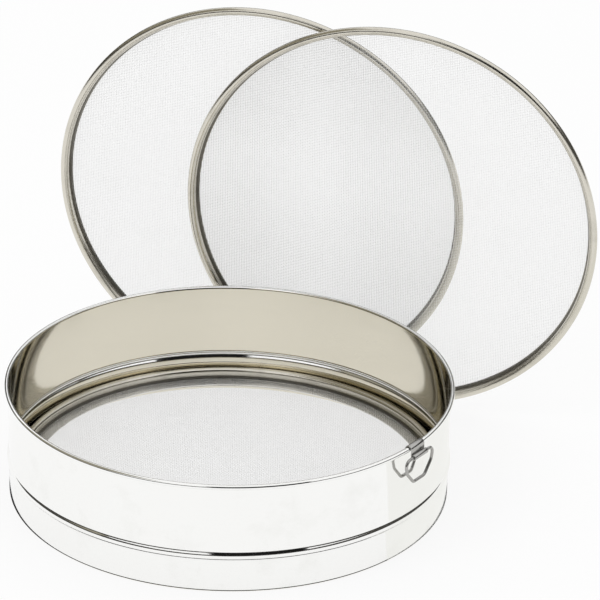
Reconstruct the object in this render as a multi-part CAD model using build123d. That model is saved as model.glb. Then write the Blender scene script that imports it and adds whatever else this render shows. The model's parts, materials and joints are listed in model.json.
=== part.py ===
from build123d import *
from math import atan, cos, degrees, hypot, radians, sin
import os

# Soil sieve: a stainless drum that holds one lift-out screen, and two spare screens that
# stand on the floor behind it and lean forwards against its rim.
# Millimetres, +Z up. The origin is on the drum's axis at floor level; -Y is the front.

# --- drum -----------------------------------------------------------------------------
DRUM_HEIGHT = 96.0
WALL_OUTER_RADIUS = 181.0
WALL_THICKNESS = 0.7
RIM_CURL_RADIUS = 2.1  # outside of the curl at the top, turned outwards round its wire
HEM_CURL_RADIUS = 2.0  # outside of the curl at the foot, turned inwards round its wire
CURL_TURN = 285.0  # how far a curl goes round its wire, in degrees
WIRE_CLEARANCE = 0.05  # between a curl and the wire inside it
BEAD_LOW = 27.5  # the raised bead that stiffens the wall
BEAD_HIGH = 36.5
BEAD_PROUD = 1.6
SEAM_WIDTH = 3.0  # weld bead where the wall's ends meet
SEAM_PROUD = 0.15
SEAM_MARGIN = 2.0  # it stops this short of a curl, of the seat and of the raised bead
SEAM_ANGLE = -100.0  # seen from above, from +X

# --- seat for the fitted screen ---------------------------------------------------------
SEAT_TOP = 12.4
SEAT_THICKNESS = 0.8
SEAT_REACH = 20.0  # how far the flange reaches in from the wall
SEAT_LEG = 5.0  # height of the leg that is welded to the wall
SEAT_FIT = 0.05  # between the leg and the wall
SEAT_WELDS = 12
SPOT_RADIUS = 1.8
SPOT_PROUD = 0.25

# --- screens ----------------------------------------------------------------------------
SCREEN_GAP = 2.7  # between the wall and a fitted screen, all round
REST_GAP = 0.3  # between pieces that only rest on each other
FLOOR_GAP = 0.1  # under the spare screens
REST_STEPS = 12  # rounds in which the front spare is set back until it only just rests
HOOP_CURL_RADIUS = 3.4
HOOP_HEIGHT = 9.4
HOOP_SHEET = 0.6
HOOP_FOOT_WIDTH = 2.0  # flange under the edge of the wire cloth
HOOP_FOOT_BEND = 0.9  # radius of the bend between the flange and the band, mid-sheet
CLOTH_WIRE = 0.3
CLAMP_WIDTH = 1.6  # ring that presses the cloth onto the flange
CLAMP_THICKNESS = 0.5
CLAMP_LEG = 1.6
CLAMP_GAP = 0.05
BRAZE_ARC = 1.2  # length of the brazed joint in the hoop, in degrees
BRAZE_PROUD = 0.2
BRAZE_TURN = -120.0  # where the hoop's ends meet, in the screen's own frame

# --- spare screens: both lean forwards, one on the drum and the other flat on its back ---
SPARE_TURN = 15.3  # turned to the left, in degrees
SPARE_LEAN = 4.1
FRONT_SPARE_SIDE = 90.0  # how far each stands to the right of the drum's axis
REAR_SPARE_SIDE = -26.5

# --- hanger -------------------------------------------------------------------------------
HANGER_ANGLE = -36.0  # seen from above, from +X
STRAP_WIDTH = 18.0
STRAP_THICKNESS = 0.8
STRAP_GAP = 0.35  # the flat strap stands off the curved rim by this much at its middle
STRAP_LEG = 14.0  # length of the strap's leg inside the drum
STRAP_EYE_TURN = 290.0
STRAP_SPOTS = 2
EYE_GAP = 0.3  # between the strap's eye and the ring's bar
EYE_DROP = 6.0  # the bar's axis below the rim curl's centre
RING_WIRE = 2.6
RING_BAR = 42.0
RING_DROP = 23.0
RING_BEND = 5.0
RING_FOOT = 0.4  # half width of the bow at its lowest, as a share of the bar's
RING_SHOULDER = (0.86, 0.52)  # half width part way down, and how far down, as shares

# --- sizes that follow --------------------------------------------------------------------
WALL_INNER_RADIUS = WALL_OUTER_RADIUS - WALL_THICKNESS
WALL_MID_RADIUS = WALL_OUTER_RADIUS - WALL_THICKNESS / 2
RIM_MID = RIM_CURL_RADIUS - WALL_THICKNESS / 2
RIM_CENTRE = (WALL_MID_RADIUS + RIM_MID, DRUM_HEIGHT - RIM_CURL_RADIUS)
BEAD_MID = (BEAD_LOW + BEAD_HIGH) / 2
BEAD_SLOPE = 2 * atan(BEAD_PROUD / (BEAD_HIGH - BEAD_MID))
BEAD_BEND = (BEAD_HIGH - BEAD_MID) / (2 * sin(BEAD_SLOPE)) + WALL_THICKNESS / 2
HEM_MID = HEM_CURL_RADIUS - WALL_THICKNESS / 2
HEM_CENTRE = (WALL_MID_RADIUS - HEM_MID, HEM_CURL_RADIUS)

HOOP_OUTER_RADIUS = WALL_INNER_RADIUS - SCREEN_GAP
HOOP_MID = HOOP_CURL_RADIUS - HOOP_SHEET / 2
HOOP_CENTRE = (HOOP_OUTER_RADIUS - HOOP_CURL_RADIUS, HOOP_HEIGHT - HOOP_CURL_RADIUS)
BAND_MID_RADIUS = HOOP_CENTRE[0] - HOOP_MID
BAND_INNER_RADIUS = BAND_MID_RADIUS - HOOP_SHEET / 2
CLOTH_BASE = HOOP_SHEET + CLAMP_GAP
CLOTH_TOP = CLOTH_BASE + 2 * CLOTH_WIRE
SCREEN_BASE = SEAT_TOP + REST_GAP


def section(edges, thickness):
    """Face of a bent sheet whose middle follows the edges, which hold radius and height."""
    return Plane.XZ * Face(Wire(edges).offset_2d(thickness / 2))


def ring(face):
    return revolve(face, Axis.Z)


def flat_ring(inner, outer, low, high):
    middle = Pos((inner + outer) / 2, (low + high) / 2)
    return ring(Plane.XZ * middle * Rectangle(outer - inner, high - low))


def wire_ring(centre, radius):
    return ring(Plane.XZ * Pos(*centre) * Circle(radius))


def save(shape, node):
    shape.label = node
    export_step(shape, "parts/" + node + ".step")


def raised_bead():
    """S-curved edges that carry the wall's middle out over the bead and back."""
    radius = BEAD_BEND - WALL_THICKNESS / 2
    turn = degrees(BEAD_SLOPE)
    rise = JernArc((WALL_MID_RADIUS, BEAD_LOW), (0, 1), radius, -turn)
    crown = JernArc(rise @ 1, rise % 1, radius, 2 * turn)
    fall = JernArc(crown @ 1, crown % 1, radius, -turn)
    return [rise, crown, fall]


def drum_wall():
    bead = raised_bead()
    middle = [
        CenterArc(HEM_CENTRE, HEM_MID, 360 - CURL_TURN, CURL_TURN),
        Line((WALL_MID_RADIUS, HEM_CENTRE[1]), bead[0] @ 0),
        *bead,
        Line(bead[-1] @ 1, (WALL_MID_RADIUS, RIM_CENTRE[1])),
        CenterArc(RIM_CENTRE, RIM_MID, 180, -CURL_TURN),
    ]
    return ring(section(middle, WALL_THICKNESS))


def wall_seam_weld():
    """Weld bead on the inside of the wall, in the stretches between seat, bead and rim."""
    spans = [
        (SEAT_TOP + SCREEN_GAP, BEAD_LOW - SEAM_MARGIN),
        (BEAD_HIGH + SEAM_MARGIN, RIM_CENTRE[1] - SEAM_MARGIN),
    ]
    half_angle = degrees(SEAM_WIDTH / 2 / WALL_INNER_RADIUS)
    beads = []
    for low, high in spans:
        middle = Pos(WALL_INNER_RADIUS - SEAM_PROUD / 2, (low + high) / 2)
        face = middle * Rectangle(SEAM_PROUD, high - low)
        bead = revolve(Plane.XZ * face, Axis.Z, 2 * half_angle)
        beads.append(Rot(0, 0, SEAM_ANGLE - half_angle) * bead)
    return Compound(children=beads)


def seat_ring():
    """Angle ring: a leg against the wall and a flange that carries the screen."""
    outer = WALL_INNER_RADIUS - SEAT_FIT
    leg = flat_ring(outer - SEAT_THICKNESS, outer, SEAT_TOP - SEAT_LEG, SEAT_TOP)
    flange = flat_ring(WALL_INNER_RADIUS - SEAT_REACH, outer, SEAT_TOP - SEAT_THICKNESS, SEAT_TOP)
    return leg + flange


def spot(radius, proud, distance, height, angle):
    """Round weld mark, its flat side at that distance from the axis, facing the axis."""
    mark = Rot(0, -90, 0) * extrude(Circle(radius), proud)
    return Rot(0, 0, angle) * Pos(distance, 0, height) * mark


def seat_spot_welds():
    face = WALL_INNER_RADIUS - SEAT_FIT - SEAT_THICKNESS
    height = SEAT_TOP - SEAT_THICKNESS - (SEAT_LEG - SEAT_THICKNESS) / 2
    radius = min(SPOT_RADIUS, (SEAT_LEG - SEAT_THICKNESS) / 2.3)
    sink = face - (face**2 - radius**2) ** 0.5
    turns = [360 * (i + 0.5) / SEAT_WELDS for i in range(SEAT_WELDS)]
    marks = [spot(radius, SPOT_PROUD, face - sink, height, turn) for turn in turns]
    return Compound(children=marks)


def screen_hoop():
    """Foot flange, band and outward curl, bent from one strip."""
    foot_in = BAND_MID_RADIUS - HOOP_SHEET / 2 - HOOP_FOOT_WIDTH
    foot_z = HOOP_SHEET / 2
    bend_start = BAND_MID_RADIUS - HOOP_FOOT_BEND
    middle = [
        Line((foot_in, foot_z), (bend_start, foot_z)),
        JernArc((bend_start, foot_z), (1, 0), HOOP_FOOT_BEND, 90),
        Line((BAND_MID_RADIUS, foot_z + HOOP_FOOT_BEND), (BAND_MID_RADIUS, HOOP_CENTRE[1])),
        CenterArc(HOOP_CENTRE, HOOP_MID, 180, -CURL_TURN),
    ]
    return ring(section(middle, HOOP_SHEET))


def screen_core_wire():
    return wire_ring(HOOP_CENTRE, HOOP_CURL_RADIUS - HOOP_SHEET - WIRE_CLEARANCE)


def screen_wire_cloth():
    """The woven cloth's outer shape: a disc two wires thick, as far as the foot's flat."""
    return Pos(0, 0, CLOTH_BASE) * extrude(Circle(BAND_MID_RADIUS - HOOP_FOOT_BEND), 2 * CLOTH_WIRE)


def screen_clamp_ring():
    """Small angle ring inside the band that holds the cloth down on the foot flange."""
    base = CLOTH_TOP + CLAMP_GAP
    outer = BAND_INNER_RADIUS - CLAMP_GAP
    flange = flat_ring(outer - CLAMP_WIDTH, outer, base, base + CLAMP_THICKNESS)
    leg = flat_ring(outer - CLAMP_THICKNESS, outer, base, base + CLAMP_LEG)
    return flange + leg


def screen_braze():
    """Brazed joint: a thin skin over the part of the curl that can be reached."""
    outer = Circle(HOOP_CURL_RADIUS + BRAZE_PROUD) - Circle(HOOP_CURL_RADIUS)
    reach = HOOP_CURL_RADIUS + BRAZE_PROUD
    upper = outer & (Pos(0, reach / 2) * Rectangle(2 * reach, reach))
    skin = revolve(Plane.XZ * Pos(*HOOP_CENTRE) * upper, Axis.Z, BRAZE_ARC)
    return Rot(0, 0, BRAZE_TURN - BRAZE_ARC / 2) * skin


SCREEN_PIECES = {
    "hoop": screen_hoop,
    "hoop_core_wire": screen_core_wire,
    "wire_cloth": screen_wire_cloth,
    "clamp_ring": screen_clamp_ring,
    "hoop_braze": screen_braze,
}


def leaning(side, distance):
    """Frame of a screen that stands on its edge at that distance behind the axis.

    The distance runs square to the screen, and side runs along it.
    """
    turn, lean = radians(SPARE_TURN), radians(SPARE_LEAN)
    level = Vector(cos(turn), -sin(turn), 0)
    ahead = Vector(-sin(turn), -cos(turn), 0)
    facing = ahead * cos(lean) - Vector(0, 0, sin(lean))
    height = HOOP_CURL_RADIUS + FLOOR_GAP + HOOP_CENTRE[1] * sin(lean) + HOOP_CENTRE[0] * cos(lean)
    behind = (distance - height * sin(lean)) / cos(lean)
    centre = level * side - ahead * behind + Vector(0, 0, height)
    return Plane(origin=centre, x_dir=level, z_dir=facing).location


def drum_gap(point):
    """Distance from a point outside the drum to its wall, raised bead or rim curl."""
    radius, height = hypot(point.X, point.Y), point.Z
    to_rim = hypot(radius - RIM_CENTRE[0], height - RIM_CENTRE[1]) - RIM_CURL_RADIUS
    to_bead = hypot(radius - WALL_OUTER_RADIUS - BEAD_PROUD + BEAD_BEND, height - BEAD_MID) - BEAD_BEND
    to_wall = radius - WALL_OUTER_RADIUS if height < RIM_CENTRE[1] else to_rim
    return min(to_rim, to_bead, to_wall)


def front_spare_distance():
    """Where the front spare comes to rest: its cloth at the rim, or its curl at the drum."""
    lean = radians(SPARE_LEAN)
    rim = RIM_CENTRE[0] * cos(lean) + RIM_CENTRE[1] * sin(lean) + RIM_CURL_RADIUS
    distance = rim + REST_GAP + CLOTH_TOP
    first = Pos(HOOP_CENTRE[0], 0, HOOP_CENTRE[1])
    around = [Rot(0, 0, angle) * first for angle in range(360)]
    for _ in range(REST_STEPS):
        place = leaning(FRONT_SPARE_SIDE, distance)
        gap = min(drum_gap((place * point).position) for point in around) - HOOP_CURL_RADIUS
        distance += max(REST_GAP - gap, 0)
    return distance


def hanger_plane():
    """Local frame: X outwards from the drum's axis, Y along the rim, Z up."""
    return Rot(0, 0, HANGER_ANGLE)


BAR_RADIUS = RING_WIRE / 2
EYE_MID = BAR_RADIUS + EYE_GAP + STRAP_THICKNESS / 2
OVER_MID = RIM_CURL_RADIUS + STRAP_GAP + STRAP_THICKNESS / 2
LEG_X = RIM_CENTRE[0] - OVER_MID
DOWN_X = RIM_CENTRE[0] + OVER_MID
BAR_CENTRE = (DOWN_X + EYE_MID, RIM_CENTRE[1] - EYE_DROP)


def hanger_strap():
    """Leg inside the wall, a bend over the rim, and an eye round the ring's bar."""
    middle = [
        Line((LEG_X, RIM_CENTRE[1] - STRAP_LEG), (LEG_X, RIM_CENTRE[1])),
        CenterArc(RIM_CENTRE, OVER_MID, 180, -180),
        Line((DOWN_X, RIM_CENTRE[1]), (DOWN_X, BAR_CENTRE[1])),
        CenterArc(BAR_CENTRE, EYE_MID, 180, STRAP_EYE_TURN),
    ]
    face = section(middle, STRAP_THICKNESS)
    return hanger_plane() * Pos(0, STRAP_WIDTH / 2, 0) * extrude(face, STRAP_WIDTH, dir=(0, -1, 0))


def hanger_spot_welds():
    face = LEG_X - STRAP_THICKNESS / 2
    step = STRAP_LEG / (STRAP_SPOTS + 1)
    radius = min(SPOT_RADIUS, step / 2.3)
    heights = [RIM_CENTRE[1] - step * (i + 1) for i in range(STRAP_SPOTS)]
    marks = [spot(radius, SPOT_PROUD, face, height, HANGER_ANGLE) for height in heights]
    return Compound(children=marks)


def hanger_ring():
    """Wire bent to a D: a straight bar in the strap's eye and a bow that hangs from it."""
    half = RING_BAR / 2 - BAR_RADIUS
    drop = RING_DROP - BAR_RADIUS
    shoulder = (half * RING_SHOULDER[0], -drop * RING_SHOULDER[1])
    right = [(half * RING_FOOT, -drop), shoulder, (half, 0)]
    left = [(-across, up) for across, up in reversed(right)]
    path = FilletPolyline(*left, *right, radius=RING_BEND, close=True)
    frame = Plane(origin=(BAR_CENTRE[0], 0, BAR_CENTRE[1]), x_dir=(0, 1, 0), z_dir=(1, 0, 0))
    wire = frame * path
    start = Plane(origin=wire @ 0, z_dir=wire % 0)
    return hanger_plane() * sweep(start * Circle(BAR_RADIUS), path=wire)


def main():
    os.makedirs("parts", exist_ok=True)
    save(drum_wall(), "drum_wall")
    save(wire_ring(RIM_CENTRE, RIM_CURL_RADIUS - WALL_THICKNESS - WIRE_CLEARANCE), "rim_core_wire")
    save(wire_ring(HEM_CENTRE, HEM_CURL_RADIUS - WALL_THICKNESS - WIRE_CLEARANCE), "foot_core_wire")
    save(wall_seam_weld(), "wall_seam_weld")
    save(seat_ring(), "screen_seat_ring")
    save(seat_spot_welds(), "seat_spot_welds")
    save(hanger_strap(), "hanger_strap")
    save(hanger_spot_welds(), "hanger_spot_welds")
    save(hanger_ring(), "hanger_ring")

    front = front_spare_distance()
    rear = front + HOOP_HEIGHT + REST_GAP
    places = {
        "fitted": Pos(0, 0, SCREEN_BASE),
        "front_spare": leaning(FRONT_SPARE_SIDE, front),
        "rear_spare": leaning(REAR_SPARE_SIDE, rear),
    }
    for screen, place in places.items():
        for piece, make in SCREEN_PIECES.items():
            save(place * make(), screen + "_" + piece)


main()
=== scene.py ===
import json
from math import atan2, cos, degrees, hypot, pi, radians, sin, sqrt, tan

import bmesh
import bpy
from mathutils import Matrix, Vector


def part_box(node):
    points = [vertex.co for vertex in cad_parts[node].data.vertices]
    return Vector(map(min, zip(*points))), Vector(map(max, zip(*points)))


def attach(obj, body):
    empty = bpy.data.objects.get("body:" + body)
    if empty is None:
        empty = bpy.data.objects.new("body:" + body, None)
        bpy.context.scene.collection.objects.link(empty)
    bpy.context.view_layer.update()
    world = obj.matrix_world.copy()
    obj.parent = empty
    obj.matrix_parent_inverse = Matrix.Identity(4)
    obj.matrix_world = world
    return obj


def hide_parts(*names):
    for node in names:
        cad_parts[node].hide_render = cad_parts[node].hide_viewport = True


# A stainless soil sieve: a drum with a lift-out screen, a hanging ring, and two spare screens.
# Metres, +Z up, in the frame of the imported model. -Y is the front.

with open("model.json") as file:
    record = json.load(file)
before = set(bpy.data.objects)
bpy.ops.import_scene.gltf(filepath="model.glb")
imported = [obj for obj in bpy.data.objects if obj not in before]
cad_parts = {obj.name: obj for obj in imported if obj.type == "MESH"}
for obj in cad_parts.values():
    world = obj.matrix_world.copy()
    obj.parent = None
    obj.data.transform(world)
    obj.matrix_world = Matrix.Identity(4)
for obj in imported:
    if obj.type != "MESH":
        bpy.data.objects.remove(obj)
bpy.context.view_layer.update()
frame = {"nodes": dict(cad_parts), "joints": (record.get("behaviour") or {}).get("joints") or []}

# --- sheet and wire sizes ------------------------------------------------------------------
SHEET = 0.0007  # drum wall
RIM_CURL = 0.0021  # outside of the drum's top curl
FOOT_CURL = 0.0020  # outside of its foot curl
CURL_TURN = 285.0  # how far a curl goes round its wire, in degrees
BEAD_LOW = 0.0275
BEAD_HIGH = 0.0365
BEAD_PROUD = 0.0016
STRIP = 0.0006  # screen hoop
HOOP_CURL = 0.0034
FOOT_BEND = 0.0009
FOOT_FLANGE = 0.0020
CLOTH_MIDDLE = 0.00095  # above the underside of a screen
WOVEN_WIRE = 0.0003
WIRE_PITCH = 0.0015  # between neighbouring wires of the cloth
WIRE_ROUND = 0.00011  # three-sided and thinner than WOVEN_WIRE, so that the cloth stays pale
CLAMP_SHEET = 0.0005
CLAMP_WIDTH = 0.0016
FIT = 0.00005  # between a ring or wire and the sheet beside it
SEAT_SHEET = 0.0008
SEAT_REACH = 0.020  # how far the flange reaches in from the wall
STRAP = 0.0008
STRAP_EDGE = 0.00012
STRAP_EYE_TURN = 290.0
STRAP_WIDTH = 0.018
RING_BEND = 0.005
RING_BAR = 0.042
RING_FOOT = 0.4  # half width of the bow at its lowest, as a share of the bar's
RING_SHOULDER = (0.86, 0.52)  # half width part way down, and how far down, as shares
AROUND = 288  # faces round a large ring
BEND_STEP = 12  # degrees between the corners of a bend in sheet
WIRE_BEND_STEP = 9  # degrees between the rings of a bend in wire
HOOP_WIRE_SIDES = 12
RING_WIRE_SIDES = 16
SAME_POINT = 1e-7
INSIDE_SHADE_EDGE = 0.0001  # over which the painted shade on the inside fades in, within the sheet


# --- shapes ----------------------------------------------------------------------------------
def only_verts(geometry):
    return [part for part in geometry if isinstance(part, bmesh.types.BMVert)]


class Section:
    """Outline drawn in the XZ plane by runs and bends, starting at a point with a heading."""

    def __init__(self, start, heading):
        self.bm = bmesh.new()
        self.heading = Vector((cos(radians(heading)), 0, sin(radians(heading))))
        self.tip = self.bm.verts.new((start[0], 0, start[1]))

    def left(self):
        return Vector((-self.heading.z, 0, self.heading.x))

    def run(self, length, along=None):
        self.tip = bmesh.ops.extrude_vert_indiv(self.bm, verts=[self.tip])["verts"][0]
        bmesh.ops.translate(self.bm, verts=[self.tip], vec=(along or self.heading) * length)

    def bend(self, radius, turn):
        side = 1 if turn > 0 else -1
        steps = max(2, round(abs(turn) / BEND_STEP))
        last = bmesh.ops.spin(
            self.bm, geom=[self.tip], cent=self.tip.co + self.left() * radius * side,
            axis=(0, -1, 0), angle=radians(turn), steps=steps)["geom_last"]
        self.tip = only_verts(last)[0]
        self.heading = Matrix.Rotation(radians(turn), 3, (0, -1, 0)) @ self.heading

    def follow(self, moves, offset):
        """Runs are lengths; bends are (radius, turn), with the radius measured on the middle line."""
        for move in moves:
            if isinstance(move, tuple):
                radius, turn = move
                self.bend(radius - offset if turn > 0 else radius + offset, turn)
            else:
                self.run(move)


def bent_sheet(start, heading, moves, thickness):
    """Closed outline of a bent sheet whose middle line starts there and follows the moves."""
    half = thickness / 2
    section = Section(start, heading)
    section.tip.co += section.left() * half
    section.follow(moves, half)
    section.run(thickness, -section.left())
    section.heading = -section.heading
    back = [(m[0], -m[1]) if isinstance(m, tuple) else m for m in reversed(moves)]
    section.follow(back, half)
    section.run(thickness, -section.left())
    bmesh.ops.remove_doubles(section.bm, verts=section.bm.verts, dist=SAME_POINT)
    return section.bm


def spun(bm, steps=AROUND):
    """The outline turned once round Z."""
    bmesh.ops.spin(bm, geom=bm.verts[:] + bm.edges[:], cent=(0, 0, 0), axis=(0, 0, 1),
                   angle=2 * pi, steps=steps, use_merge=True)
    return tidied(bm)


def tidied(bm):
    bmesh.ops.remove_doubles(bm, verts=bm.verts, dist=SAME_POINT)
    bmesh.ops.recalc_face_normals(bm, faces=bm.faces)
    return bm


def placed(bm, matrix):
    bmesh.ops.transform(bm, matrix=matrix, verts=bm.verts)
    return bm


def wire_hoop(radius, height, wire, steps=AROUND):
    """A round wire bent to a ring about Z."""
    bm = bmesh.new()
    upright = Matrix.Translation((radius, 0, height)) @ Matrix.Rotation(pi / 2, 4, "X")
    bmesh.ops.create_circle(bm, segments=HOOP_WIRE_SIDES, radius=wire, matrix=upright)
    return spun(bm, steps)


def bent_wire(start, heading, moves, wire):
    """A closed wire in the YZ plane: runs are lengths, bends are (radius, turn) to the left."""
    bm = bmesh.new()
    ahead = Vector(heading)
    turn_axis = Vector((1, 0, 0))
    facing = ahead.to_track_quat("Z", "X").to_matrix().to_4x4()
    facing = Matrix.Translation(start) @ facing
    rim = bmesh.ops.create_circle(
        bm, segments=RING_WIRE_SIDES, radius=wire, matrix=facing)["verts"]
    at = Vector(start)
    edges = bm.edges[:]
    for move in moves:
        if isinstance(move, tuple):
            radius, turn = move
            centre = at + turn_axis.cross(ahead) * radius
            steps = max(3, round(turn / WIRE_BEND_STEP))
            last = bmesh.ops.spin(bm, geom=rim + edges, cent=centre, axis=turn_axis,
                                  angle=radians(turn), steps=steps)["geom_last"]
            spin = Matrix.Rotation(radians(turn), 3, turn_axis)
            at = centre + spin @ (at - centre)
            ahead = spin @ ahead
        else:
            last = bmesh.ops.extrude_edge_only(bm, edges=edges)["geom"]
            bmesh.ops.translate(bm, verts=only_verts(last), vec=ahead * move)
            at = at + ahead * move
        rim = only_verts(last)
        edges = [part for part in last
                 if isinstance(part, bmesh.types.BMEdge) and all(v in rim for v in part.verts)]
    bmesh.ops.remove_doubles(bm, verts=bm.verts, dist=1e-5)
    bmesh.ops.recalc_face_normals(bm, faces=bm.faces)
    return bm


def finished(bm, name, body, material, stands_for=(), crisp=35.0):
    """The piece as an object that rides on its body, smooth but for its sharp edges."""
    for face in bm.faces:
        face.smooth = True
    for edge in bm.edges:
        if len(edge.link_faces) == 2 and edge.calc_face_angle() > radians(crisp):
            edge.smooth = False
    mesh = bpy.data.meshes.new(name)
    bm.to_mesh(mesh)
    bm.free()
    mesh.materials.append(material)
    piece = bpy.data.objects.new(name, mesh)
    bpy.context.scene.collection.objects.link(piece)
    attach(piece, body)
    if stands_for:
        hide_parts(*stands_for)
    return piece


# --- node helpers ---------------------------------------------------------------------------
def node(tree, kind, inputs=None, **settings):
    made = tree.nodes.new(kind)
    for key, value in settings.items():
        setattr(made, key, value)
    for key, value in (inputs or {}).items():
        if isinstance(value, bpy.types.NodeSocket):
            tree.links.new(value, made.inputs[key])
        else:
            made.inputs[key].default_value = value
    return made


def math(tree, operation, first, second=0.0):
    return node(tree, "ShaderNodeMath", {0: first, 1: second}, operation=operation).outputs[0]


def blend_colour(tree, factor, low, high):
    mix = node(tree, "ShaderNodeMix", {"Factor": factor}, data_type="RGBA")
    for key, value in ((6, low), (7, high)):
        if isinstance(value, bpy.types.NodeSocket):
            tree.links.new(value, mix.inputs[key])
        else:
            mix.inputs[key].default_value = (*value, 1)
    return mix.outputs[2]


def new_group(name, takes, gives):
    group = bpy.data.node_groups.new(name, "ShaderNodeTree")
    for label, kind, start in takes:
        socket = group.interface.new_socket(label, in_out="INPUT", socket_type=kind)
        if start is not None:
            socket.default_value = start
    for label, kind in gives:
        group.interface.new_socket(label, in_out="OUTPUT", socket_type=kind)
    return group, group.nodes.new("NodeGroupInput"), group.nodes.new("NodeGroupOutput")


def rolling_marks():
    """Fine level streaks left in sheet by rolling and polishing."""
    group, given, out = new_group(
        "rolling marks",
        [("Place", "NodeSocketVector", None), ("Fineness", "NodeSocketFloat", 1.0)],
        [("Height", "NodeSocketFloat")])
    stretch = node(group, "ShaderNodeMapping", {"Vector": given.outputs["Place"], "Scale": (6, 6, 900)})
    noise = node(group, "ShaderNodeTexNoise", {
        "Vector": stretch.outputs[0], "Scale": given.outputs["Fineness"], "Detail": 3.0})
    group.links.new(noise.outputs["Fac"], out.inputs["Height"])
    return group


def sheet_wave():
    """The slow unevenness of thin polished sheet."""
    group, given, out = new_group(
        "sheet wave",
        [("Place", "NodeSocketVector", None), ("Size", "NodeSocketFloat", 20.0)],
        [("Height", "NodeSocketFloat")])
    noise = node(group, "ShaderNodeTexNoise", {
        "Vector": given.outputs["Place"], "Scale": given.outputs["Size"], "Detail": 1.0})
    group.links.new(noise.outputs["Fac"], out.inputs["Height"])
    return group


def hand_marks():
    """Faint patches where the polish is duller."""
    group, given, out = new_group(
        "hand marks",
        [("Place", "NodeSocketVector", None), ("Size", "NodeSocketFloat", 30.0)],
        [("Mask", "NodeSocketFloat")])
    noise = node(group, "ShaderNodeTexNoise", {
        "Vector": given.outputs["Place"], "Scale": given.outputs["Size"],
        "Detail": 5.0, "Roughness": 0.6})
    spread = node(group, "ShaderNodeMapRange", {0: noise.outputs["Fac"], 1: 0.52, 2: 0.72})
    group.links.new(spread.outputs[0], out.inputs["Mask"])
    return group


ROLLING = rolling_marks()
WAVE = sheet_wave()
HANDS = hand_marks()


def group_node(tree, group, inputs):
    made = node(tree, "ShaderNodeGroup", node_tree=group)
    for key, value in inputs.items():
        if isinstance(value, bpy.types.NodeSocket):
            tree.links.new(value, made.inputs[key])
        else:
            made.inputs[key].default_value = value
    return made


def handled_steel(name, metallic, colour, dull, roughness, rough_extra, patch_size=30.0):
    """colour and roughness where it is clean; dull, and rougher by rough_extra, where handled."""
    material = bpy.data.materials.new(name)
    material.use_nodes = True
    tree = material.node_tree
    shader = tree.nodes["Principled BSDF"]
    shader.inputs["Metallic"].default_value = metallic
    place = node(tree, "ShaderNodeTexCoord").outputs["Object"]
    hands = group_node(tree, HANDS, {"Place": place, "Size": patch_size})
    clean_or_dull = blend_colour(tree, hands.outputs["Mask"], colour, dull)
    tree.links.new(clean_or_dull, shader.inputs["Base Color"])
    rough = math(tree, "MULTIPLY_ADD", hands.outputs["Mask"], rough_extra)
    tree.nodes[-1].inputs[2].default_value = roughness
    tree.links.new(rough, shader.inputs["Roughness"])
    return material, tree, shader, place


def metal(name, colour, dull, roughness, rough_extra,
          wave=0.0, wave_size=18.0, streaks=0.0, fineness=1.0):
    """Steel with its own polish; wave and streaks are how deep its unevenness goes, in metres."""
    material, tree, shader, place = handled_steel(name, 1.0, colour, dull, roughness, rough_extra)
    normal = None
    if wave:
        waves = group_node(tree, WAVE, {"Place": place, "Size": wave_size})
        bump = node(tree, "ShaderNodeBump", {
            "Height": waves.outputs["Height"], "Strength": 1.0, "Distance": wave})
        normal = bump.outputs[0]
    if streaks:
        rolling = group_node(tree, ROLLING, {"Place": place, "Fineness": fineness})
        bump = node(tree, "ShaderNodeBump", {
            "Height": rolling.outputs["Height"], "Strength": 1.0, "Distance": streaks})
        if normal:
            tree.links.new(normal, bump.inputs["Normal"])
        normal = bump.outputs[0]
    if normal:
        tree.links.new(normal, shader.inputs["Normal"])
    return material


def drum_sheet_material():
    """Bright sheet, with a darker, warmer colour painted on the inside of the drum as shade and
    reflection.
    """
    material = metal("polished drum sheet", (0.94, 0.94, 0.925), (0.90, 0.90, 0.88), 0.07, 0.08,
                     wave=0.0004, wave_size=9.0, streaks=0.000012)
    tree = material.node_tree
    shader = tree.nodes["Principled BSDF"]
    place = node(tree, "ShaderNodeTexCoord").outputs["Object"]
    apart = node(tree, "ShaderNodeSeparateXYZ", {0: place})
    flat = math(tree, "POWER", apart.outputs[0], 2.0)
    deep = math(tree, "POWER", apart.outputs[1], 2.0)
    away = math(tree, "SQRT", math(tree, "ADD", flat, deep))
    inside = node(tree, "ShaderNodeMapRange", {
        0: away, 1: WALL_MID + INSIDE_SHADE_EDGE, 2: WALL_MID - INSIDE_SHADE_EDGE}).outputs[0]
    outer = shader.inputs["Base Color"].links[0].from_socket
    # Painted shade and reflection: the inside of the drum is given a darker, warmer colour than the
    # outside.
    inside_painted_shade = blend_colour(tree, inside, outer, (0.85, 0.805, 0.68))
    tree.links.new(inside_painted_shade, shader.inputs["Base Color"])
    return material


# --- the drum ---------------------------------------------------------------------------------
low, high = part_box("drum_wall")
RIM_MID = RIM_CURL - SHEET / 2
FOOT_MID = FOOT_CURL - SHEET / 2
WALL_MID = high.x - RIM_CURL - RIM_MID
RIM_HEIGHT = high.z - RIM_CURL  # the top curl's centre
FOOT_HEIGHT = low.z + FOOT_CURL
BEAD_SLOPE = 2 * atan2(BEAD_PROUD, (BEAD_HIGH - BEAD_LOW) / 2)
BEAD_BEND = (BEAD_HIGH - BEAD_LOW) / 4 / sin(BEAD_SLOPE)

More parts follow.
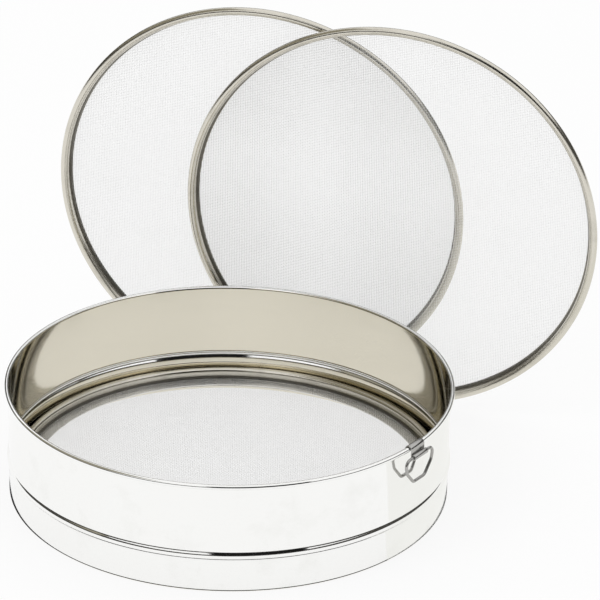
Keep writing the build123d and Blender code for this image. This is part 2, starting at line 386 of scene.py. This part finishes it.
DRUM_SHEET = drum_sheet_material()
SATIN = metal("satin stainless", (0.80, 0.785, 0.75), (0.72, 0.70, 0.66), 0.22, 0.12,
              streaks=0.00002)
STRAP_STEEL = metal("strap stainless", (0.46, 0.455, 0.44), (0.36, 0.355, 0.34), 0.20, 0.15,
                    streaks=0.00002, fineness=2.0)
RING_STEEL = metal("bright ring wire", (0.42, 0.415, 0.40), (0.34, 0.335, 0.32), 0.10, 0.1)
HOOP_STEEL = metal("polished hoop strip", (0.70, 0.67, 0.595), (0.62, 0.59, 0.52), 0.2, 0.08)
CORE_WIRE = metal("drawn core wire", (0.5, 0.5, 0.48), (0.4, 0.39, 0.37), 0.4, 0.1)
WELD = metal("brushed weld", (0.62, 0.60, 0.56), (0.5, 0.47, 0.42), 0.35, 0.2,
             wave=0.0001, wave_size=900.0)
CLAMP_STEEL = metal("clamp strip", (0.24, 0.23, 0.205), (0.19, 0.18, 0.16), 0.35, 0.1,
                    streaks=0.00002)
BRAZE = metal("brazed joint", (0.70, 0.65, 0.54), (0.6, 0.55, 0.45), 0.3, 0.2,
              wave=0.0001, wave_size=700.0)


def drum_wall():
    """From the end of the foot curl, up the wall and over the bead, to the end of the rim curl."""
    slope = degrees(BEAD_SLOPE)
    foot_end = radians(-CURL_TURN)
    start = (WALL_MID - FOOT_MID + FOOT_MID * cos(foot_end), FOOT_HEIGHT + FOOT_MID * sin(foot_end))
    moves = [
        (FOOT_MID, CURL_TURN),
        BEAD_LOW - FOOT_HEIGHT,
        (BEAD_BEND, -slope), (BEAD_BEND, 2 * slope), (BEAD_BEND, -slope),
        RIM_HEIGHT - BEAD_HIGH,
        (RIM_MID, -CURL_TURN),
    ]
    return spun(bent_sheet(start, 90 - CURL_TURN, moves, SHEET))


finished(drum_wall(), "drum_shell", "drum", DRUM_SHEET, ["drum_wall"])


def seat_ring():
    seat_low, seat_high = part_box("screen_seat_ring")
    outer = seat_high.x - SEAT_SHEET / 2
    flange = seat_high.z - SEAT_SHEET / 2
    bend = SEAT_SHEET
    inner = WALL_MID - SHEET / 2 - SEAT_REACH
    moves = [outer - bend - inner, (bend, -90), flange - bend - seat_low.z]
    return spun(bent_sheet((inner, flange), 0, moves, SEAT_SHEET))


finished(seat_ring(), "screen_seat", "drum", SATIN, ["screen_seat_ring"])
for core, height in (("rim_core_wire", RIM_HEIGHT), ("foot_core_wire", FOOT_HEIGHT)):
    core_low, core_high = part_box(core)
    wire = (core_high.z - core_low.z) / 2
    round_wire = wire_hoop(core_high.x - wire, height, wire)
    finished(round_wire, core + "_round", "drum", CORE_WIRE, [core])
for weld in ("wall_seam_weld", "seat_spot_welds", "hanger_spot_welds"):
    frame["nodes"][weld].data.materials.clear()
    frame["nodes"][weld].data.materials.append(WELD)


# --- the hanger -------------------------------------------------------------------------------
hinge = next(j for j in frame["joints"] if j["name"] == "hanger_swing")
BAR = Vector(hinge["pos_m"])
BAR_AWAY = hypot(BAR.x, BAR.y)
HANGER_TURN = Matrix.Rotation(atan2(BAR.y, BAR.x), 4, "Z")


def hanger_strap():
    """Leg inside the wall, over the rim curl, and an eye round the bar; then given its width."""
    strap_low, strap_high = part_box("hanger_strap")
    over = strap_high.z - STRAP / 2 - RIM_HEIGHT
    curl = WALL_MID + RIM_MID
    eye = BAR_AWAY - curl - over
    moves = [RIM_HEIGHT - strap_low.z, (over, -180), RIM_HEIGHT - BAR.z, (eye, STRAP_EYE_TURN)]
    bm = bent_sheet((curl - over, strap_low.z), 90, moves, STRAP)
    side = bmesh.ops.contextual_create(bm, geom=bm.edges[:])["faces"]
    grown = bmesh.ops.extrude_face_region(bm, geom=side)["geom"]
    bmesh.ops.translate(bm, verts=only_verts(grown), vec=(0, STRAP_WIDTH, 0))
    tidied(bm)
    rims = [edge for edge in bm.edges
            if len(edge.link_faces) == 2 and any(len(face.verts) > 4 for face in edge.link_faces)]
    bmesh.ops.bevel(bm, geom=rims, offset=STRAP_EDGE, offset_type="OFFSET", affect="EDGES",
                    segments=2, profile=0.5, material=-1)
    return placed(bm, HANGER_TURN @ Matrix.Translation((0, -STRAP_WIDTH / 2, 0)))


finished(hanger_strap(), "hanger_clip", "drum", STRAP_STEEL, ["hanger_strap"])


def filleted(corners, radius):
    """Moves along a closed outline with rounded corners, from the middle of its first side."""
    points = [Vector(c) for c in corners]
    count = len(points)
    turns = []
    for i in range(count):
        before = (points[i] - points[i - 1]).normalized()
        after = (points[(i + 1) % count] - points[i]).normalized()
        turns.append(before.angle_signed(after) * -1)
    cuts = [radius * tan(abs(t) / 2) for t in turns]
    moves = []
    first = (points[1] - points[0]).length
    moves.append(first / 2 - cuts[1])
    for i in range(1, count + 1):
        k = i % count
        moves.append((radius, degrees(turns[k])))
        side = (points[(k + 1) % count] - points[k]).length
        cut_after = cuts[(k + 1) % count]
        moves.append(first / 2 - cuts[0] if k == 0 else side - cuts[k] - cut_after)
    return moves


def hanging_ring():
    ring_low, ring_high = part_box("hanger_ring")
    wire = ring_high.z - BAR.z
    half = RING_BAR / 2 - wire
    drop = BAR.z - ring_low.z - wire
    shoulder = (-half * RING_SHOULDER[0], -drop * RING_SHOULDER[1])
    left = [(-half, 0), shoulder, (-half * RING_FOOT, -drop)]
    right = [(-across, up) for across, up in reversed(left)]
    corners = [right[-1], *left, *right[:-1]]
    moves = filleted(corners, RING_BEND)
    bm = bent_wire((BAR_AWAY, 0, BAR.z), (0, -1, 0), moves, wire)
    return placed(bm, HANGER_TURN)


finished(hanging_ring(), "hanging_ring_wire", "hanger", RING_STEEL, ["hanger_ring"])


# --- screens ----------------------------------------------------------------------------------
def screen_frame(prefix):
    """Local frame of a screen: its middle on the underside, Z towards its curl."""
    cloth_low, cloth_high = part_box(prefix + "_wire_cloth")
    hoop_low, hoop_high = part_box(prefix + "_hoop")
    middle = (cloth_low + cloth_high) / 2
    mesh = frame["nodes"][prefix + "_wire_cloth"].data
    facing = max(mesh.polygons, key=lambda face: face.area).normal.copy()
    if facing.dot((hoop_low + hoop_high) / 2 - middle) < 0:
        facing.negate()
    level = Vector((0, 0, 1)).cross(facing)
    level = level.normalized() if level.length > 0.1 else Vector((1, 0, 0))
    up = facing.cross(level)
    turn = Matrix((level, up, facing)).transposed().to_4x4()
    return Matrix.Translation(middle - facing * CLOTH_MIDDLE) @ turn


hoop_low, hoop_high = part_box("fitted_hoop")
HOOP_REACH = hoop_high.x
HOOP_DEEP = hoop_high.z - hoop_low.z
HOOP_MID = HOOP_CURL - STRIP / 2
BAND_MID = HOOP_REACH - HOOP_CURL - HOOP_MID
CLOTH_RADIUS = BAND_MID - FOOT_BEND
WIRE_ROWS = int(CLOTH_RADIUS / WIRE_PITCH)


def hoop_band():
    """Foot flange under the cloth, upright band, and the curl turned outwards round its wire."""
    foot = STRIP / 2
    inner = BAND_MID - STRIP / 2 - FOOT_FLANGE
    moves = [
        BAND_MID - FOOT_BEND - inner,
        (FOOT_BEND, 90),
        HOOP_DEEP - HOOP_CURL - foot - FOOT_BEND,
        (HOOP_MID, -CURL_TURN),
    ]
    return spun(bent_sheet((inner, foot), 0, moves, STRIP))


def clamp_ring():
    outer = BAND_MID - STRIP / 2 - FIT - CLAMP_SHEET / 2
    base = CLOTH_MIDDLE + WOVEN_WIRE + FIT + CLAMP_SHEET / 2
    bend = CLAMP_SHEET
    inner = outer + CLAMP_SHEET / 2 - CLAMP_WIDTH
    moves = [outer - bend - inner, (bend, 90), CLAMP_WIDTH - CLAMP_SHEET / 2 - bend]
    return spun(bent_sheet((inner, base), 0, moves, CLAMP_SHEET))


def woven_wires(pitch, across, rows):
    """Some of the cloth's wires, side by side, each over and under the wires that cross it."""
    cloth = bmesh.new()
    scratch = bpy.data.meshes.new("scratch")
    for row in rows:
        aside = row * pitch
        half = sqrt(CLOTH_RADIUS ** 2 - aside ** 2)
        crossings = int(half / pitch)
        if crossings < 1:
            continue
        length = 2 * crossings * pitch
        wire = bmesh.new()
        lying = Matrix.Translation((0, aside, CLOTH_MIDDLE)) @ Matrix.Rotation(pi / 2, 4, "Y")
        bmesh.ops.create_cone(wire, segments=3, radius1=WIRE_ROUND, radius2=WIRE_ROUND,
                              depth=length, matrix=lying)
        along = [e for e in wire.edges if abs(e.verts[0].co.x - e.verts[1].co.x) > pitch / 2]
        bmesh.ops.subdivide_edges(wire, edges=along, cuts=2 * crossings - 1)
        for vert in wire.verts:
            step = round(vert.co.x / pitch)
            over = 1 if (step + row + across) % 2 else -1
            vert.co.z += over * WOVEN_WIRE / 2
            if abs(step) == crossings:
                vert.co.x = half if step > 0 else -half
        wire.to_mesh(scratch)
        wire.free()
        cloth.from_mesh(scratch)
    bpy.data.meshes.remove(scratch)
    if across:
        quarter = Matrix.Rotation(pi / 2, 3, "Z")
        bmesh.ops.rotate(cloth, verts=cloth.verts, cent=(0, 0, 0), matrix=quarter)
    return cloth


# Drawn wire is too fine to mirror anything clearly, so it is only partly metallic.
WIRE_STEEL = handled_steel("bright woven wire", 0.35, (0.84, 0.84, 0.835), (0.78, 0.78, 0.77),
                           0.4, 0.1, patch_size=25.0)[0]
SCREENS = {
    "fitted": "fitted_screen",
    "front_spare": "front_spare_screen",
    "rear_spare": "rear_spare_screen",
}
for prefix, body in SCREENS.items():
    place = screen_frame(prefix)
    finished(placed(hoop_band(), place), prefix + "_band", body, HOOP_STEEL,
             [prefix + "_hoop"])
    finished(placed(clamp_ring(), place), prefix + "_clamp", body, CLAMP_STEEL,
             [prefix + "_clamp_ring"])
    core_wire = HOOP_CURL - STRIP - FIT
    core = wire_hoop(HOOP_REACH - HOOP_CURL, HOOP_DEEP - HOOP_CURL, core_wire)
    finished(placed(core, place), prefix + "_core", body, CORE_WIRE,
             [prefix + "_hoop_core_wire"])
    for across, label in enumerate(("warp", "weft")):
        for half, rows in (("low", range(-WIRE_ROWS, 0)), ("high", range(WIRE_ROWS + 1))):
            wires = placed(woven_wires(WIRE_PITCH, across, rows), place)
            finished(wires, f"{prefix}_{label}_{half}", body, WIRE_STEEL,
                     [prefix + "_wire_cloth"], crisp=180.0)
    braze = frame["nodes"][prefix + "_hoop_braze"]
    braze.data.materials.clear()
    braze.data.materials.append(BRAZE)


# --- floor, light and camera ------------------------------------------------------------------
CARD_AWAY = 4.0
# Cards: degrees round from the front, degrees up, width, height, shade.
BLACK_CARD = (16.0, 34.0, 3.2, 2.6, (0.01, 0.01, 0.01))
OLIVE_CARD = (-98.0, 44.0, 5.0, 3.6, (0.30, 0.28, 0.22))
BAND_AWAY = 5.0
BAND_FROM = 1.0  # degrees above the floor
BAND_TO = 25.0
BAND_SHADE = (0.06, 0.058, 0.052)
FOOT_SHADOW_WIDTH = 0.0022  # width of the ring of painted shade round the foot
FOOT_SHADE = (0.01, 0.01, 0.01)
JUST_ABOVE = 0.0002
PATCH_LEFT = 0.129
PATCH_FRONT = -0.128
PATCH_WIDE = 0.6
PATCH_DEEP = 0.6
PATCH_SHADE = (0.92, 0.92, 0.90)
FLOOR_GLOW = 0.84
FLOOR_REACH = 6.0
TENT_LIGHT = 0.95
SOFTBOX_WIDE = 1.6
SOFTBOX_WATTS = 14.0
SOFTBOX_AT = (-1.6, -1.2, 2.4)
SOFTBOX_AIM = Vector((0, 0, 0.1))
LENS = 237.1
DISTANCE = 3.279
EYE_HEIGHT = 0.4887  # radians above the floor, seen from the middle of the drum's foot
LOOK_DOWN = 0.4418
LOOK_ASIDE = -0.0193
TILT = 0.0221


def white_when_seen(tree, lit, seen):
    """Mixes two shaders: how it lights other things, and how it looks to camera, mirror and glass."""
    path = node(tree, "ShaderNodeLightPath")
    gloss = math(tree, "MAXIMUM", path.outputs["Is Glossy Ray"], path.outputs["Is Transmission Ray"])
    shown = math(tree, "MAXIMUM", path.outputs["Is Camera Ray"], gloss)
    return node(tree, "ShaderNodeMixShader", {0: shown, 1: lit, 2: seen})


def paper_floor():
    bm = bmesh.new()
    bmesh.ops.create_grid(bm, x_segments=4, y_segments=4, size=FLOOR_REACH)
    mesh = bpy.data.meshes.new("paper_floor")
    bm.to_mesh(mesh)
    bm.free()
    floor = bpy.data.objects.new("paper_floor", mesh)
    bpy.context.scene.collection.objects.link(floor)
    material = bpy.data.materials.new("white paper")
    material.use_nodes = True
    tree = material.node_tree
    tree.nodes.clear()
    paper = node(tree, "ShaderNodeBsdfDiffuse", {"Color": (0.9, 0.9, 0.9, 1)})
    glow = node(tree, "ShaderNodeEmission", {"Color": (1, 1, 1, 1), "Strength": 1.0})
    lifted = node(tree, "ShaderNodeMixShader", {0: FLOOR_GLOW, 1: paper.outputs[0], 2: glow.outputs[0]})
    mix = white_when_seen(tree, paper.outputs[0], lifted.outputs[0])
    node(tree, "ShaderNodeOutputMaterial", {"Surface": mix.outputs[0]})
    mesh.materials.append(material)


def studio():
    world = bpy.data.worlds.new("white tent")
    world.use_nodes = True
    tree = world.node_tree
    tree.nodes.clear()
    lit = node(tree, "ShaderNodeBackground", {"Color": (1, 1, 1, 1), "Strength": TENT_LIGHT})
    seen = node(tree, "ShaderNodeBackground", {"Color": (1, 1, 1, 1), "Strength": 1.0})
    mix = white_when_seen(tree, lit.outputs[0], seen.outputs[0])
    node(tree, "ShaderNodeOutputWorld", {"Surface": mix.outputs[0]})
    bpy.context.scene.world = world
    lamp = bpy.data.lights.new("softbox", "AREA")
    lamp.shape = "DISK"
    lamp.size = SOFTBOX_WIDE
    lamp.energy = SOFTBOX_WATTS
    box = bpy.data.objects.new("softbox", lamp)
    box.location = SOFTBOX_AT
    box.rotation_euler = (SOFTBOX_AIM - box.location).to_track_quat("-Z", "Y").to_euler()
    box.visible_glossy = False
    bpy.context.scene.collection.objects.link(box)


def dark_band():
    """The dark room beyond the tent, which only mirrors show, low down all round."""
    bm = bmesh.new()
    bmesh.ops.create_circle(bm, segments=96, radius=BAND_AWAY)
    raised = bmesh.ops.extrude_edge_only(bm, edges=bm.edges[:])["geom"]
    foot, top = (BAND_AWAY * tan(radians(angle)) for angle in (BAND_FROM, BAND_TO))
    bmesh.ops.translate(bm, verts=bm.verts, vec=(0, 0, foot))
    bmesh.ops.translate(bm, verts=only_verts(raised), vec=(0, 0, top - foot))
    mirror_only(bm, "dark_band", BAND_SHADE)


def mirror_only(bm, name, shade):
    """A backdrop that only polished metal shows."""
    mesh = bpy.data.meshes.new(name)
    bm.to_mesh(mesh)
    bm.free()
    backdrop = bpy.data.objects.new(name, mesh)
    bpy.context.scene.collection.objects.link(backdrop)
    material = bpy.data.materials.new(name)
    material.use_nodes = True
    tree = material.node_tree
    tree.nodes.clear()
    dark = node(tree, "ShaderNodeEmission", {"Color": (*shade, 1), "Strength": 1.0})
    node(tree, "ShaderNodeOutputMaterial", {"Surface": dark.outputs[0]})
    mesh.materials.append(material)
    backdrop.visible_camera = False
    backdrop.visible_diffuse = False
    backdrop.visible_shadow = False


def mirror_card(name, azimuth, height, wide, tall, shade):
    """A flat flag that faces the drum, which draws dark lines on polished curls and beads."""
    bm = bmesh.new()
    bmesh.ops.create_grid(bm, x_segments=1, y_segments=1, size=0.5)
    bmesh.ops.scale(bm, verts=bm.verts, vec=(wide, tall, 1))
    around, above = radians(azimuth), radians(height)
    towards = Vector((sin(around) * cos(above), -cos(around) * cos(above), sin(above)))
    turn = (-towards).to_track_quat("Z", "Y").to_matrix().to_4x4()
    placed(bm, Matrix.Translation(towards * CARD_AWAY) @ turn)
    mirror_only(bm, name, shade)


def floor_patch():
    """A greyer stretch of floor on the right, which only the wall beside it mirrors."""
    bm = bmesh.new()
    bmesh.ops.create_grid(bm, x_segments=1, y_segments=1, size=0.5)
    bmesh.ops.scale(bm, verts=bm.verts, vec=(PATCH_WIDE, PATCH_DEEP, 1))
    middle = (PATCH_LEFT + PATCH_WIDE / 2, PATCH_FRONT + PATCH_DEEP / 2, JUST_ABOVE)
    bmesh.ops.translate(bm, verts=bm.verts, vec=middle)
    mirror_only(bm, "floor_patch", PATCH_SHADE)


def painted_foot_shadow():
    """A dark ring on the floor round the foot, painted shade that stands for the contact shadow, which
    only the foot's own curve mirrors.
    """
    bm = bmesh.new()
    middle = (WALL_MID, 0, JUST_ABOVE)
    start = bm.verts.new(middle)
    outer = bmesh.ops.extrude_vert_indiv(bm, verts=[start])["verts"]
    bmesh.ops.translate(bm, verts=outer, vec=(FOOT_SHADOW_WIDTH, 0, 0))
    mirror_only(spun(bm), "painted_foot_shadow", FOOT_SHADE)


def camera():
    """Long lens, a little above the rim, slightly turned to take in the spare screens."""
    data = bpy.data.cameras.new("camera")
    data.sensor_width = 36.0
    data.lens = LENS
    eye = bpy.data.objects.new("camera", data)
    right = Vector((1, 0, 0))
    ahead = Vector((0, cos(LOOK_DOWN), -sin(LOOK_DOWN)))
    up = Vector((0, sin(LOOK_DOWN), cos(LOOK_DOWN)))
    right, up = (cos(TILT) * right + sin(TILT) * up, cos(TILT) * up - sin(TILT) * right)
    turn = Matrix((right, up, -ahead)).transposed()
    turn = Matrix.Rotation(LOOK_ASIDE, 3, "Z") @ turn
    away, above = DISTANCE * cos(EYE_HEIGHT), DISTANCE * sin(EYE_HEIGHT)
    eye.matrix_world = Matrix.Translation((0, -away, above)) @ turn.to_4x4()
    bpy.context.scene.collection.objects.link(eye)
    bpy.context.scene.camera = eye


camera()
studio()
paper_floor()
dark_band()
mirror_card("black_card", *BLACK_CARD)
mirror_card("olive_card", *OLIVE_CARD)
floor_patch()
painted_foot_shadow()
bpy.context.scene.view_settings.view_transform = "Standard"
